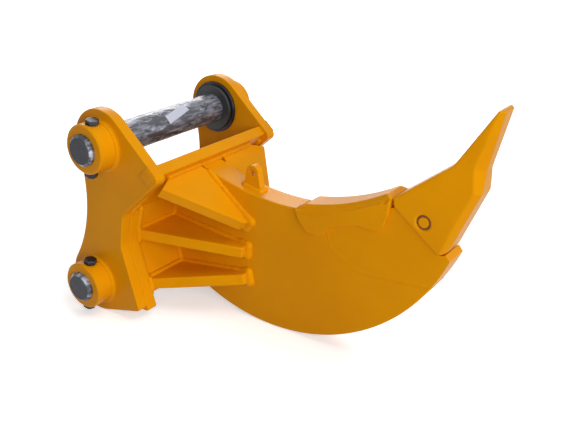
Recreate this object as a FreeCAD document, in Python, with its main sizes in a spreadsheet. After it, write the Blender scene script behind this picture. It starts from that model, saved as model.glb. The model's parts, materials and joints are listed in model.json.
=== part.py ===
import FreeCAD, Part
import math
import os
import Sketcher
from FreeCAD import Placement, Rotation, Vector

# Single-shank ripper for an excavator arm. X runs from the hitch to the tooth, Y across the two
# hitch ears and Z up. The origin is on the upper hitch pin's axis, midway between the ears, and the
# ripper stands as it rests on flat ground: on the lower ear rounds and on the belly of the shank.

DOC = FreeCAD.newDocument("ripper")
SHEET = DOC.addObject("Spreadsheet::Sheet", "Sizes")

# Every driving dimension in millimetres or degrees, with its name in the sheet.
SIZES = [
    # hitch pins and their holes
    ("pin_radius", 40), ("pin_back", 62), ("pin_drop", 390), ("pin_overhang", 14),
    ("pin_chamfer", 7), ("pin_play", 0.08),
    # ear plates
    ("ear_gap", 410), ("ear_thickness", 30), ("ear_round", 90), ("scallop_radius", 375),
    ("beak_reach", 194), ("beak_drop", 58), ("beak_round", 16), ("waist_reach", 58),
    ("waist_drop", 176), ("waist_round", 25), ("shin_reach", 41), ("shin_drop", 268),
    ("shin_round", 40), ("foot_reach", 90), ("foot_drop", 442), ("foot_round", 8),
    # bosses round the pins and the lock bolts across them
    ("boss_radius", 63), ("boss_reach", 53), ("boss_chamfer", 4), ("bolt_radius", 10),
    ("bolt_hole_play", 0.5), ("spot_depth", 2.5), ("spot_radius", 19), ("bolt_head_radius", 17),
    ("bolt_head_height", 12.5), ("bolt_head_play", 0.3), ("nut_height", 16), ("bolt_tail", 5),
    # washers and seals that close the gap beside the arm
    ("washer_radius", 73), ("washer_thickness", 9), ("seal_radius", 64), ("seal_thickness", 9),
    # headboard, upper plate
    ("brow_angle", 43), ("brow_front", 163), ("brow_thickness", 30), ("brow_top", 80),
    ("brow_bottom", -86), ("tenon_inset", 3), ("tenon_height", 35), ("tenon_reach", 3),
    ("tenon_play", 0.4),
    # headboard, lower plate, and the cheeks beside it
    ("sill_reach", 31), ("sill_drop", 270), ("sill_foot_reach", 72), ("sill_foot_drop", 421),
    ("sill_thickness", 29), ("cheek_thickness", 33), ("cheek_width", 54), ("cheek_drop", 178),
    ("cheek_foot", 14),
    # shank
    ("shank_thickness", 70), ("belly_radius", 517), ("belly_reach", 372),
    ("throat_radius", 657), ("throat_reach", 412), ("throat_drop", 130),
    ("joint_top_reach", 532), ("joint_knee_reach", 549), ("joint_knee_drop", 206),
    ("joint_step_run", 81), ("joint_step_drop", 44), ("joint_end_reach", 812),
    ("joint_round", 45),
    # gussets
    ("gusset_thickness", 30), ("gusset_tip_width", 26), ("gusset_cope", 14),
    ("ear_step", 24), ("ear_width", 48), ("tip_lead", 8),
    ("upper_angle", 38.4), ("upper_tip_reach", 314), ("upper_tip_drop", 199),
    ("middle_angle", 6.0), ("middle_tip_reach", 301), ("middle_tip_drop", 267),
    ("lower_angle", -8.5), ("lower_tip_reach", 300), ("lower_tip_drop", 343),
    # saddle-shaped protector on the throat
    ("saddle_back_reach", 449), ("saddle_mid_reach", 570), ("saddle_mid_drop", 104),
    ("saddle_thickness", 20), ("saddle_wall", 10), ("saddle_fit", 0.3), ("crown_width", 80),
    ("crown_height", 14), ("crown_bevel", 9), ("crown_margin", 2), ("crown_back_slope", 24),
    ("crown_front_slope", 16),
    ("saddle_front_reach", 706), ("notch_inset", 13), ("notch_depth", 6), ("notch_back_run", 13),
    ("notch_front_run", 6), ("skirt_round", 9),
    # tooth, its nose and its pin
    ("tooth_width", 82), ("tooth_back_reach", 709), ("tooth_back_drop", 41),
    ("lip_reach", 712), ("lip_drop", 61), ("lip_round", 10), ("bend_round", 40),
    ("tooth_bend_reach", 840), ("tooth_bend_rise", 60), ("tip_reach", 922), ("tip_rise", 189),
    ("tip_thickness", 12), ("tip_bevel", 3), ("tip_width", 64), ("taper_start", 40),
    ("corner_bevel", 9), ("heel_bevel", 13), ("blade_bevel", 20), ("tip_edge_bevel", 5),
    ("heel_reach", 903), ("heel_top_reach", 905), ("heel_top_rise", 58), ("heel_round", 14),
    ("heel_rise", 6), ("corner_reach", 835), ("corner_drop", 157), ("corner_round", 18),
    ("socket_play", 1), ("nose_wall", 13), ("nose_width", 62), ("nose_reach", 865),
    ("tooth_gap", 2), ("toe_turn", 78), ("toe_thickness", 11), ("toe_reach", 851),
    ("tooth_pin_reach", 785), ("tooth_pin_drop", 80), ("tooth_pin_radius", 12.5),
    ("tooth_pin_inset", 1.5), ("tooth_pin_chamfer", 1.5),
    ("recess_radius", 17.5), ("recess_depth", 8), ("retainer_thickness", 4),
    # lifting lug on the shank
    ("lug_reach", 297), ("lug_round", 18), ("lug_foot", 26), ("lug_height", 44),
    ("lug_thickness", 20), ("lug_hole_radius", 9),
]
for row, (alias, size) in enumerate(SIZES, start=1):
    SHEET.set(f"A{row}", alias)
    SHEET.set(f"B{row}", str(size))
    SHEET.setAlias(f"B{row}", alias)
DOC.recompute()

# How far a cutting outline runs past the solid that it cuts.
OVERRUN = 60
# The radius at which a circle is drawn before its expression sets it.
DRAWN_RADIUS = 5
# How near an edge lies to the corner that picks it, and a circle to the size that picks it.
EDGE_REACH = 0.5
CIRCLE_REACH = 0.01

PIECES = []


def size(alias):
    """The number that a cell of the sheet holds."""
    return float(SHEET.get(alias))


def cell(alias):
    """A cell's name as expressions write it."""
    return f"Sizes.{alias}"


HALF_GAP = size("ear_gap") / 2
EAR_OUT = HALF_GAP + size("ear_thickness")
BOSS_OUT = EAR_OUT + size("boss_reach")
HALF_SHANK = size("shank_thickness") / 2
CHEEK_IN = HALF_GAP - size("cheek_thickness")
LOWER_PIN = (-size("pin_back"), -size("pin_drop"))
LEAN = math.degrees(math.atan2(size("pin_back"), size("pin_drop")))
GROUND = -size("pin_drop") - size("ear_round")
BELLY = (size("belly_reach"), GROUND + size("belly_radius"))
THROAT = (size("throat_reach"), size("throat_radius") - size("throat_drop"))


# Plane geometry, with each point as a pair of X and Z.

def brow(along, out):
    """A point in the frame of the sloping headboard: along the ears' front slope, and out of it."""
    turn = math.radians(size("brow_angle"))
    return (along * math.cos(turn) + out * math.sin(turn),
            -along * math.sin(turn) + out * math.cos(turn))


def angle_of(centre, point):
    return math.atan2(point[1] - centre[1], point[0] - centre[0])


def on_circle(centre, radius, angle):
    return (centre[0] + radius * math.cos(angle), centre[1] + radius * math.sin(angle))


def tangent_point(corner, centre, radius, turn):
    """Where the straight line from a corner touches a circle; turn picks the side."""
    distance = math.dist(corner, centre)
    swing = math.acos(radius / distance)
    return on_circle(centre, radius, angle_of(centre, corner) + turn * swing)


def crossing(centre, radius, start, end, side):
    """Where the line from start to end crosses a circle; side picks the first or second crossing."""
    run = (end[0] - start[0], end[1] - start[1])
    back = (start[0] - centre[0], start[1] - centre[1])
    a = run[0] ** 2 + run[1] ** 2
    b = 2 * (run[0] * back[0] + run[1] * back[1])
    c = back[0] ** 2 + back[1] ** 2 - radius ** 2
    share = (-b + side * math.sqrt(b * b - 4 * a * c)) / (2 * a)
    return (start[0] + share * run[0], start[1] + share * run[1])


def below(centre, radius, reach):
    """The point of a circle that lies below its centre at the given X."""
    return (reach, centre[1] - math.sqrt(radius ** 2 - (reach - centre[0]) ** 2))


def circle_through(first, second, third):
    """Centre and radius of the circle through three points."""
    curve = Part.Arc(*[Vector(x, z, 0) for x, z in (first, second, third)]).toShape().Curve
    return (curve.Center.x, curve.Center.y), curve.Radius


def toward(start, end, distance):
    """The point at a distance from start on the line to end."""
    share = distance / math.dist(start, end)
    return (start[0] + share * (end[0] - start[0]), start[1] + share * (end[1] - start[1]))


def shifted(start, end, distance):
    """The line from start to end, moved to its left by a distance."""
    length = math.dist(start, end)
    side = (-(end[1] - start[1]) / length, (end[0] - start[0]) / length)
    return [(x + side[0] * distance, z + side[1] * distance) for x, z in (start, end)]


def meeting(first, second):
    """The point where two lines meet, each a pair of points."""
    (ax, az), (bx, bz) = first
    (cx, cz), (dx, dz) = second
    spread = (bx - ax) * (dz - cz) - (bz - az) * (dx - cx)
    share = ((cx - ax) * (dz - cz) - (cz - az) * (dx - cx)) / spread
    return (ax + share * (bx - ax), az + share * (bz - az))


def grown(corners, distance):
    """A counter-clockwise outline of straight edges, moved outwards by a distance."""
    count = len(corners)
    edges = [shifted(corners[i], corners[(i + 1) % count], -distance) for i in range(count)]
    return [meeting(edges[i - 1], edges[i]) for i in range(count)]


# Feature helpers.

def new_body(name):
    body = DOC.addObject("PartDesign::Body", name)
    body.Label = name
    PIECES.append(body)
    return body


def new_sketch(body, name, role="XZ_Plane", offset=None):
    """A sketch on one of the body's own origin planes, moved or turned by an offset."""
    plane = [p for p in body.Origin.OriginFeatures if p.Role == role][0]
    sketch = body.newObject("Sketcher::SketchObject", f"{body.Name}_{name}")
    sketch.AttachmentSupport = [(plane, "")]
    sketch.MapMode = "FlatFace"
    if offset:
        sketch.AttachmentOffset = offset
    return sketch


def outline(sketch, edges):
    """Joins edges end to end in a closed sketch outline."""
    first = sketch.GeometryCount
    for edge in edges:
        sketch.addGeometry(edge)
    for i, edge in enumerate(edges):
        j = (i + 1) % len(edges)
        gaps = []
        for p, start in ((1, edge.StartPoint), (2, edge.EndPoint)):
            for q, end in ((1, edges[j].StartPoint), (2, edges[j].EndPoint)):
                gaps.append((start.distanceToPoint(end), p, q))
        near = min(gaps)
        sketch.addConstraint(Sketcher.Constraint("Coincident", first + i, near[1], first + j, near[2]))
    return first


def line(start, end):
    return Part.LineSegment(Vector(*start, 0), Vector(*end, 0))


def arc(centre, radius, start, end):
    """Counter-clockwise arc between two points of a circle."""
    circle = Part.Circle(Vector(*centre, 0), Vector(0, 0, 1), radius)
    return Part.ArcOfCircle(circle, angle_of(centre, start), angle_of(centre, end))


def polygon(sketch, corners):
    """Closed outline of straight edges with every corner held at its place."""
    count = len(corners)
    first = outline(sketch, [line(corners[i], corners[(i + 1) % count]) for i in range(count)])
    for i, (x, z) in enumerate(corners):
        sketch.addConstraint(Sketcher.Constraint("DistanceX", -1, 1, first + i, 1, x))
        sketch.addConstraint(Sketcher.Constraint("DistanceY", -1, 1, first + i, 1, z))
    return first


def circle(sketch, centre, radius):
    """A circle whose radius follows an expression."""
    index = sketch.addGeometry(Part.Circle(Vector(*centre, 0), Vector(0, 0, 1), DRAWN_RADIUS))
    sketch.addConstraint(Sketcher.Constraint("DistanceX", -1, 1, index, 3, centre[0]))
    sketch.addConstraint(Sketcher.Constraint("DistanceY", -1, 1, index, 3, centre[1]))
    held = sketch.addConstraint(Sketcher.Constraint("Radius", index, DRAWN_RADIUS))
    sketch.setExpression(f"Constraints[{held}]", radius)
    return index


def hold_arc(sketch, index, radius):
    """Ties an arc's radius to an expression."""
    held = sketch.addConstraint(Sketcher.Constraint("Radius", index, sketch.Geometry[index].Radius))
    sketch.setExpression(f"Constraints[{held}]", radius)


def pad(body, sketch, length, reverse=False, symmetric=False):
    feature = body.newObject("PartDesign::Pad", f"{sketch.Name}_pad")
    feature.Profile = sketch
    feature.setExpression("Length", length)
    feature.Reversed = reverse
    feature.SideType = "Symmetric" if symmetric else "One side"
    DOC.recompute()


def pocket(body, sketch, length=None, reverse=False, symmetric=False):
    """Cuts a sketch out of a body: to a length, or through everything on both sides."""
    before = body.Shape.Volume
    feature = body.newObject("PartDesign::Pocket", f"{sketch.Name}_cut")
    feature.Profile = sketch
    if length is None:
        feature.Type = "ThroughAll"
    else:
        feature.setExpression("Length", length)
        feature.Reversed = reverse
    feature.SideType = "Symmetric" if symmetric or length is None else "One side"
    DOC.recompute()
    if not body.Shape.Volume < before - 1e-3:
        raise ValueError(f"{feature.Name} cuts nothing")


def cross_edges(body, point):
    """Names of the edges along Y that pass through a point of the side view."""
    names = []
    for number, edge in enumerate(body.Shape.Edges, start=1):
        middle = edge.CenterOfMass
        near = math.dist((middle.x, middle.z), point) < EDGE_REACH
        spread = edge.BoundBox
        if near and spread.XLength + spread.ZLength < EDGE_REACH:
            names.append(f"Edge{number}")
    return names


def dress(body, kind, names, measure, length):
    """Rounds or bevels the named edges of a body."""
    base = body.Tip
    feature = body.newObject(f"PartDesign::{kind}", f"{base.Name}_{kind.lower()}")
    feature.Base = (base, names)
    feature.setExpression(measure, length)
    DOC.recompute()


def round_corners(body, points, radius):
    """Fillets the edges along Y at the given side-view corners."""
    names = [name for point in points for name in cross_edges(body, point)]
    dress(body, "Fillet", names, "Radius", radius)


def end_circles(body, radius):
    """Names of the circular edges of one radius, centred on the body's own Y axis."""
    names = []
    for number, edge in enumerate(body.Shape.Edges, start=1):
        curve = edge.Curve
        if isinstance(curve, Part.Circle) and abs(curve.Radius - radius) < CIRCLE_REACH:
            if math.hypot(curve.Center.x, curve.Center.z) < CIRCLE_REACH:
                names.append(f"Edge{number}")
    return names


def chamfer_ends(body, radius, width):
    dress(body, "Chamfer", end_circles(body, size(radius)), "Size", cell(width))


def place(piece, x=None, y=None, z=None, lean=0.0):
    """Turns a piece about Y, and ties its place to expressions."""
    piece.Placement = Placement(Vector(), Rotation(Vector(0, 1, 0), lean))
    for axis, expression in (("x", x), ("y", y), ("z", z)):
        if expression:
            piece.setExpression(f".Placement.Base.{axis}", expression)


SIDES = [("left", -1), ("right", 1)]


def at_level(piece, level, y=None, lean=LEAN):
    """Places a piece on the upper or the lower hitch pin's axis."""
    if level == "upper":
        place(piece, y=y, lean=lean)
    else:
        place(piece, f"-{cell('pin_back')}", y, f"-{cell('pin_drop')}", lean)


# Hole sizes, and distances from the middle plane, as expressions.
PIN_HOLE = f"{cell('pin_radius')} + {cell('pin_play')}"
TOOTH_PIN_HOLE = f"{cell('tooth_pin_radius')} + {cell('pin_play')}"
BOLT_CLEARANCE = cell("bolt_radius") + " + " + cell("bolt_hole_play")
EAR_FACE = f"({cell('ear_gap')} / 2 + {cell('ear_thickness')})"
PIN_HALF = f"({EAR_FACE} + {cell('boss_reach')} + {cell('pin_overhang')})"


# Ear plates.

BEAK = (size("beak_reach"), -size("beak_drop"))
WAIST = (size("waist_reach"), -size("waist_drop"))
SHIN = (size("shin_reach"), -size("shin_drop"))
FOOT = (size("foot_reach"), -size("foot_drop"))


def tenon_corners(play):
    """Section of the headboard's tenon, or of its slot in the ear, which is wider by the play."""
    front = size("brow_front")
    back = front - size("brow_thickness")
    top = size("ear_round") - size("tenon_inset")
    low = top - size("tenon_height")
    return [brow(back - play, low - play), brow(front + play, low - play),
            brow(front + play, top + play), brow(back - play, top + play)]


def ear_plate(name, start):
    body = new_body(name)
    sketch = new_sketch(body, "profile")
    radius = size("ear_round")
    scallop = size("scallop_radius")
    half = math.dist((0, 0), LOWER_PIN) / 2
    offset = math.sqrt((radius + scallop) ** 2 - half ** 2)
    line_of_pins = angle_of((0, 0), LOWER_PIN)
    hollow = on_circle((LOWER_PIN[0] / 2, LOWER_PIN[1] / 2), offset, line_of_pins - math.pi / 2)
    upper_end = on_circle((0, 0), radius, angle_of((0, 0), hollow))
    lower_start = on_circle(LOWER_PIN, radius, angle_of(LOWER_PIN, hollow))
    slope_start = tangent_point(BEAK, (0, 0), radius, 1)
    foot_end = tangent_point(FOOT, LOWER_PIN, radius, -1)
    first = outline(sketch, [
        arc((0, 0), radius, slope_start, upper_end),
        arc(hollow, scallop, lower_start, upper_end),
        arc(LOWER_PIN, radius, lower_start, foot_end),
        line(foot_end, FOOT), line(FOOT, SHIN), line(SHIN, WAIST), line(WAIST, BEAK),
        line(BEAK, slope_start)])
    hold_arc(sketch, first, cell("ear_round"))
    hold_arc(sketch, first + 1, cell("scallop_radius"))
    hold_arc(sketch, first + 2, cell("ear_round"))
    circle(sketch, (0, 0), PIN_HOLE)
    circle(sketch, LOWER_PIN, PIN_HOLE)
    pad(body, sketch, cell("ear_thickness"))
    slot = new_sketch(body, "slot")
    polygon(slot, tenon_corners(size("tenon_play")))
    pocket(body, slot)
    for corner, rounding in ((BEAK, "beak_round"), (WAIST, "waist_round"), (SHIN, "shin_round"),
                             (FOOT, "foot_round")):
        round_corners(body, [corner], cell(rounding))
    place(body, y=start)


ear_plate("ear_plate_left", f"-{cell('ear_gap')} / 2")
ear_plate("ear_plate_right", EAR_FACE)


# Bosses on the ears' outer faces. The left pair is crossed by the lock bolts.

def boss(level, side):
    body = new_body(f"boss_{level}_{side}")
    ring = new_sketch(body, "ring")
    circle(ring, (0, 0), cell("boss_radius"))
    circle(ring, (0, 0), PIN_HOLE)
    pad(body, ring, cell("boss_reach"))
    chamfer_ends(body, "boss_radius", "boss_chamfer")
    if side == "left":
        middle = (0, -size("boss_reach") / 2)
        across = new_sketch(body, "bolt_hole", "XY_Plane")
        circle(across, middle, BOLT_CLEARANCE)
        pocket(body, across)
        seat = size("boss_radius") - size("spot_depth")
        for end, rise, upwards in (("top", seat, True), ("base", -seat, False)):
            spot = new_sketch(body, f"spot_{end}", "XY_Plane",
                              Placement(Vector(0, 0, rise), Rotation()))
            circle(spot, middle, cell("spot_radius"))
            pocket(body, spot, cell("boss_radius"), reverse=upwards)
    start = f"-{EAR_FACE}" if side == "left" else f"{EAR_FACE} + {cell('boss_reach')}"
    at_level(body, level, start)


for level in ("upper", "lower"):
    for side in ("left", "right"):
        boss(level, side)


# Hitch pins, each crossed by a bolt hole in its left end.


def hitch_pin(level):
    body = new_body(f"hitch_pin_{level}")
    section = new_sketch(body, "section")
    circle(section, (0, 0), cell("pin_radius"))
    pad(body, section, f"2 * {PIN_HALF}")
    chamfer_ends(body, "pin_radius", "pin_chamfer")
    half = BOSS_OUT + size("pin_overhang")
    across = new_sketch(body, "bolt_hole", "XY_Plane")
    circle(across, (0, -half - EAR_OUT - size("boss_reach") / 2), BOLT_CLEARANCE)
    pocket(body, across)
    at_level(body, level, PIN_HALF)


def ring_piece(name, level, radius, thickness, start):
    """A flat ring round a hitch pin."""
    body = new_body(name)
    ring = new_sketch(body, "ring")
    circle(ring, (0, 0), cell(radius))
    circle(ring, (0, 0), PIN_HOLE)
    pad(body, ring, cell(thickness))
    dress(body, "Fillet", end_circles(body, size(radius)), "Radius", f"{cell(thickness)} / 4")
    at_level(body, level, start, 0)


for level in ("upper", "lower"):
    hitch_pin(level)
    gap, washer, seal = cell("ear_gap"), cell("washer_thickness"), cell("seal_thickness")
    ring_piece(f"washer_{level}_left", level, "washer_radius", "washer_thickness",
               f"-{gap} / 2 + {washer}")
    ring_piece(f"washer_{level}_right", level, "washer_radius", "washer_thickness", f"{gap} / 2")
    ring_piece(f"seal_{level}_left", level, "seal_radius", "seal_thickness",
               f"-{gap} / 2 + {washer} + {seal}")
    ring_piece(f"seal_{level}_right", level, "seal_radius", "seal_thickness",
               f"{gap} / 2 - {washer}")


# Lock bolts across the left bosses, with a nut under each.

SEAT = f"({cell('boss_radius')} - {cell('spot_depth')})"
BOLT_Y = f"-({EAR_FACE} + {cell('boss_reach')} / 2)"


def cylinder(name, radius, height, z):
    piece = DOC.addObject("Part::Cylinder", name)
    piece.setExpression("Radius", radius)
    piece.setExpression("Height", height)
    piece.setExpression(".Placement.Base.z", z)
    return piece


def hexagon(name, radius, height, z):
    piece = DOC.addObject("Part::Prism", name)
    piece.Polygon = 6
    piece.setExpression("Circumradius", radius)
    piece.setExpression("Height", height)
    piece.setExpression(".Placement.Base.z", z)
    return piece


def lock_bolt(level):
    reach = f"2 * {SEAT} + {cell('nut_height')} + {cell('bolt_tail')}"
    shaft = cylinder(f"bolt_shaft_{level}", cell("bolt_radius"),
                     f"{reach} + {cell('bolt_head_play')}", f"{SEAT} - ({reach})")
    head = hexagon(f"bolt_head_{level}", cell("bolt_head_radius"), cell("bolt_head_height"),
                   f"{SEAT} + {cell('bolt_head_play')}")
    bolt = DOC.addObject("Part::Fuse", f"lock_bolt_{level}")
    bolt.Base = head
    bolt.Tool = shaft
    bolt.Label = f"lock_bolt_{level}"
    PIECES.append(bolt)
    at_level(bolt, level, BOLT_Y)
    nut = DOC.addObject("Part::Cut", f"lock_nut_{level}")
    nut.Base = hexagon(f"nut_body_{level}", cell("bolt_head_radius"), cell("nut_height"),
                       f"-{SEAT} - {cell('nut_height')}")
    nut.Tool = cylinder(f"nut_hole_{level}", f"{cell('bolt_radius')} + {cell('pin_play')}",
                        f"{cell('nut_height')} * 3", f"-{SEAT} - {cell('nut_height')} * 2")
    nut.Label = f"lock_nut_{level}"
    PIECES.append(nut)
    at_level(nut, level, BOLT_Y)


for level in ("upper", "lower"):
    lock_bolt(level)


# Headboard: a sloping upper plate with a tenon through each ear, and a bent lower plate.

BROW_END = [brow(size("brow_front"), size("brow_bottom")),
            brow(size("brow_front") - size("brow_thickness"), size("brow_bottom"))]
SILL = (size("sill_reach"), -size("sill_drop"))
SILL_FOOT = (size("sill_foot_reach"), -size("sill_foot_drop"))

upper = new_body("headboard_upper")
face = new_sketch(upper, "section")
front, back = size("brow_front"), size("brow_front") - size("brow_thickness")
polygon(face, [BROW_END[1], BROW_END[0], brow(front, size("brow_top")), brow(back, size("brow_top"))])
pad(upper, face, cell("ear_gap"), symmetric=True)
for side, sign in SIDES:
    tenon = new_sketch(upper, f"tenon_{side}",
                       offset=Placement(Vector(0, 0, -sign * HALF_GAP), Rotation()))
    polygon(tenon, tenon_corners(0))
    pad(upper, tenon, f"{cell('ear_thickness')} + {cell('tenon_reach')}", reverse=side == "right")

lower = new_body("headboard_lower")
face = new_sketch(lower, "section")
rear_leg = shifted(BROW_END[0], SILL, -size("sill_thickness"))
rear_foot = shifted(SILL, SILL_FOOT, -size("sill_thickness"))
rear_bend = meeting(rear_leg, rear_foot)
polygon(face, [BROW_END[0], BROW_END[1], rear_bend, rear_foot[1], SILL_FOOT, SILL])
pad(lower, face, f"{cell('ear_gap')} - 2 * {cell('cheek_thickness')}", symmetric=True)


# Cheeks: the thick inner plates that carry the headboard's lower plate on each ear.

def level_line(height):
    """A horizontal line, as a pair of points."""
    return ((0, height), (1, height))


def cheek(side, start):
    body = new_body(f"cheek_{side}")
    sketch = new_sketch(body, "profile")
    width = size("cheek_width")
    crest = level_line(-size("cheek_drop"))
    sole = level_line(-size("foot_drop") - size("cheek_foot"))
    top = meeting((WAIST, SHIN), crest)
    toe = meeting((SHIN, FOOT), sole)
    rear_upper = shifted(top, SHIN, -width)
    rear_lower = shifted(SHIN, toe, -width)
    polygon(sketch, [top, meeting(rear_upper, crest), meeting(rear_upper, rear_lower),
                     meeting(rear_lower, sole), toe, SHIN])
    pad(body, sketch, cell("cheek_thickness"))
    round_corners(body, [SHIN], cell("shin_round"))
    round_corners(body, [toe], cell("foot_round"))
    place(body, y=start)


cheek("left", f"{cell('cheek_thickness')} - {cell('ear_gap')} / 2")
cheek("right", f"{cell('ear_gap')} / 2")


# Shank and the nose piece that is welded to it along a stepped seam.

SADDLE_BACK = below(THROAT, size("throat_radius"), size("saddle_back_reach"))
SADDLE_MID = (size("saddle_mid_reach"), -size("saddle_mid_drop"))
TOOTH_BACK = (size("tooth_back_reach"), -size("tooth_back_drop"))
CORNER = (size("corner_reach"), -size("corner_drop"))
HEEL = (size("heel_reach"), size("heel_rise"))
TOOTH_BEND = (size("tooth_bend_reach"), size("tooth_bend_rise"))
TOOTH_LIP = (size("lip_reach"), -size("lip_drop"))
PIN_AT = (size("tooth_pin_reach"), -size("tooth_pin_drop"))
SADDLE, SADDLE_RADIUS = circle_through(SADDLE_BACK, SADDLE_MID, TOOTH_BACK)
LEDGE_RADIUS = SADDLE_RADIUS + size("saddle_thickness")
LEDGE_BACK = on_circle(SADDLE, LEDGE_RADIUS, angle_of(SADDLE, SADDLE_BACK))
JOINT_TOP = below(SADDLE, LEDGE_RADIUS, size("joint_top_reach"))
JOINT_KNEE = (size("joint_knee_reach"), -size("joint_knee_drop"))
JOINT_HEEL = (JOINT_KNEE[0] + size("joint_step_run"), JOINT_KNEE[1] - size("joint_step_drop"))
JOINT_END = below(BELLY, size("belly_radius"), size("joint_end_reach"))

shank = new_body("shank")
sketch = new_sketch(shank, "profile")
shank_top = crossing(THROAT, size("throat_radius"), BROW_END[0], brow(size("brow_front"), 0), 1)
shank_low = crossing(BELLY, size("belly_radius"), SILL, SILL_FOOT, 1)
first = outline(sketch, [
    arc(BELLY, size("belly_radius"), shank_low, JOINT_END),
    line(JOINT_END, JOINT_HEEL), line(JOINT_HEEL, JOINT_KNEE), line(JOINT_KNEE, JOINT_TOP),
    arc(SADDLE, LEDGE_RADIUS, LEDGE_BACK, JOINT_TOP),
    line(LEDGE_BACK, SADDLE_BACK),
    arc(THROAT, size("throat_radius"), shank_top, SADDLE_BACK),
    line(shank_top, BROW_END[0]), line(BROW_END[0], SILL), line(SILL, shank_low)])
hold_arc(sketch, first, cell("belly_radius"))
hold_arc(sketch, first + 6, cell("throat_radius"))
pad(shank, sketch, cell("shank_thickness"), symmetric=True)
round_corners(shank, [JOINT_KNEE, JOINT_HEEL], cell("joint_round"))

# The nose is a wedge that the tooth's socket fits over; its faces follow the tooth's outline.
NOSE_INSET = size("nose_wall") + size("socket_play")
NOSE_TOP = shifted(TOOTH_BACK, TOOTH_BEND, -NOSE_INSET)
NOSE_BASE = shifted(CORNER, HEEL, NOSE_INSET)
NOSE_END = ((size("nose_reach"), 0), (size("nose_reach"), 1))
SHOULDER = shifted(TOOTH_LIP, CORNER, -size("tooth_gap"))
NOSE = [meeting(NOSE_BASE, SHOULDER), meeting(NOSE_BASE, NOSE_END), meeting(NOSE_TOP, NOSE_END),
        meeting(NOSE_TOP, SHOULDER)]

nose = new_body("nose_piece")
sketch = new_sketch(nose, "profile")
shoulder_top = crossing(SADDLE, LEDGE_RADIUS, SHOULDER[1], SHOULDER[0], 1)

# The toe cups the tooth's rounded corner.
rounding = size("corner_round")
cup = meeting(shifted(TOOTH_LIP, CORNER, rounding), shifted(CORNER, HEEL, rounding))
cup_radius = rounding + size("tooth_gap")
cup_start = angle_of(TOOTH_LIP, CORNER) - math.pi / 2
cup_end = cup_start + math.radians(size("toe_turn"))
toe_seat, toe_lip = on_circle(cup, cup_radius, cup_start), on_circle(cup, cup_radius, cup_end)
toe_tip = on_circle(cup, cup_radius + size("toe_thickness"), cup_end)
toe_low = below(BELLY, size("belly_radius"), size("toe_reach"))
first = outline(sketch, [
    arc(BELLY, size("belly_radius"), JOINT_END, toe_low),
    line(toe_low, toe_tip), line(toe_tip, toe_lip), arc(cup, cup_radius, toe_seat, toe_lip),
    line(toe_seat, shoulder_top),
    arc(SADDLE, LEDGE_RADIUS, JOINT_TOP, shoulder_top),
    line(JOINT_TOP, JOINT_KNEE), line(JOINT_KNEE, JOINT_HEEL), line(JOINT_HEEL, JOINT_END)])
hold_arc(sketch, first, cell("belly_radius"))
hold_arc(sketch, first + 3, f"{cell('corner_round')} + {cell('tooth_gap')}")
pad(nose, sketch, cell("shank_thickness"), symmetric=True)
round_corners(nose, [JOINT_KNEE, JOINT_HEEL], cell("joint_round"))
wedge = new_sketch(nose, "wedge")
polygon(wedge, NOSE)
pad(nose, wedge, cell("nose_width"), symmetric=True)
hole = new_sketch(nose, "pin_hole")
circle(hole, PIN_AT, TOOTH_PIN_HOLE)
pocket(nose, hole)


# Gussets: flat plates between a cheek or ear and the shank, three to a side, fanned in side view.

def gusset(level, side, sign, plan, front_line):
    """
    A plate whose top face slopes down from the headboard. The plan holds its corners in that
    face as pairs of distance along the slope and distance out from the middle plane.
    """
    slope = size(f"{level}_angle")
    tip = (size(f"{level}_tip_reach"), -size(f"{level}_tip_drop"))
    body = new_body(f"gusset_{level}_{side}")
    turn = Rotation(Vector(0, 1, 0), slope)
    flat = new_sketch(body, "plan", "XY_Plane", Placement(Vector(tip[0], 0, tip[1]), turn))
    polygon(flat, [(along, sign * out) for along, out in plan])
    pad(body, flat, cell("gusset_thickness"), reverse=True)
    room = new_sketch(body, "root")
    polygon(room, front_line + [(LOWER_PIN[0], front_line[-1][1]), (LOWER_PIN[0], front_line[0][1])])
    pocket(body, room)


BROW_LINE = (brow(size("brow_front"), size("brow_top") + OVERRUN), BROW_END[0])
SILL_LINES = {"middle": (BROW_END[0], SILL), "lower": (SILL, SILL_FOOT)}
CHEEK_LINES = {"middle": (WAIST, SHIN), "lower": (SHIN, FOOT)}
TIP_OUT = HALF_SHANK + size("gusset_tip_width")
COPE = size("gusset_cope")


def to_line(level, front_line):
    """Distance along a gusset's slope from its tip back to the headboard's front face."""
    slope = math.radians(size(f"{level}_angle"))
    tip = (size(f"{level}_tip_reach"), -size(f"{level}_tip_drop"))
    ahead = (tip[0] + math.cos(slope), tip[1] - math.sin(slope))
    root = meeting((tip, ahead), front_line)
    return -math.dist(tip, root)


for side, sign in SIDES:
    root = to_line("upper", BROW_LINE)
    notch_out = HALF_GAP - size("ear_width")
    gusset("upper", side, sign, [
        (root - OVERRUN, HALF_SHANK + COPE), (root, HALF_SHANK + COPE),
        (root + 2 * COPE, HALF_SHANK), (0, HALF_SHANK), (-size("tip_lead"), TIP_OUT),
        (root + size("ear_step"), HALF_GAP), (root, notch_out),
        (root - OVERRUN, notch_out)], list(BROW_LINE))
    for level in ("middle", "lower"):
        root = to_line(level, SILL_LINES[level])
        edge = to_line(level, CHEEK_LINES[level])
        gusset(level, side, sign, [
            (root - OVERRUN, HALF_SHANK), (0, HALF_SHANK), (0, TIP_OUT), (edge, CHEEK_IN),
            (root - OVERRUN, CHEEK_IN)], [BROW_END[0], SILL, SILL_FOOT])


# Protector: a saddle over the throat of the shank, with a raised crown and a lug down each side.

BACK = size("saddle_back_reach")
FRONT = size("saddle_front_reach")

# The skirt's lower edge: distance in from the protector's end, and depth under its top curve.
SKIRT_FRONT = [(4, 36), (14, 61), (34, 68), (86, 40)]
SKIRT_BACK = [(101, 41), (85, 59), (69, 65), (34, 55), (15, 31)]


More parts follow.
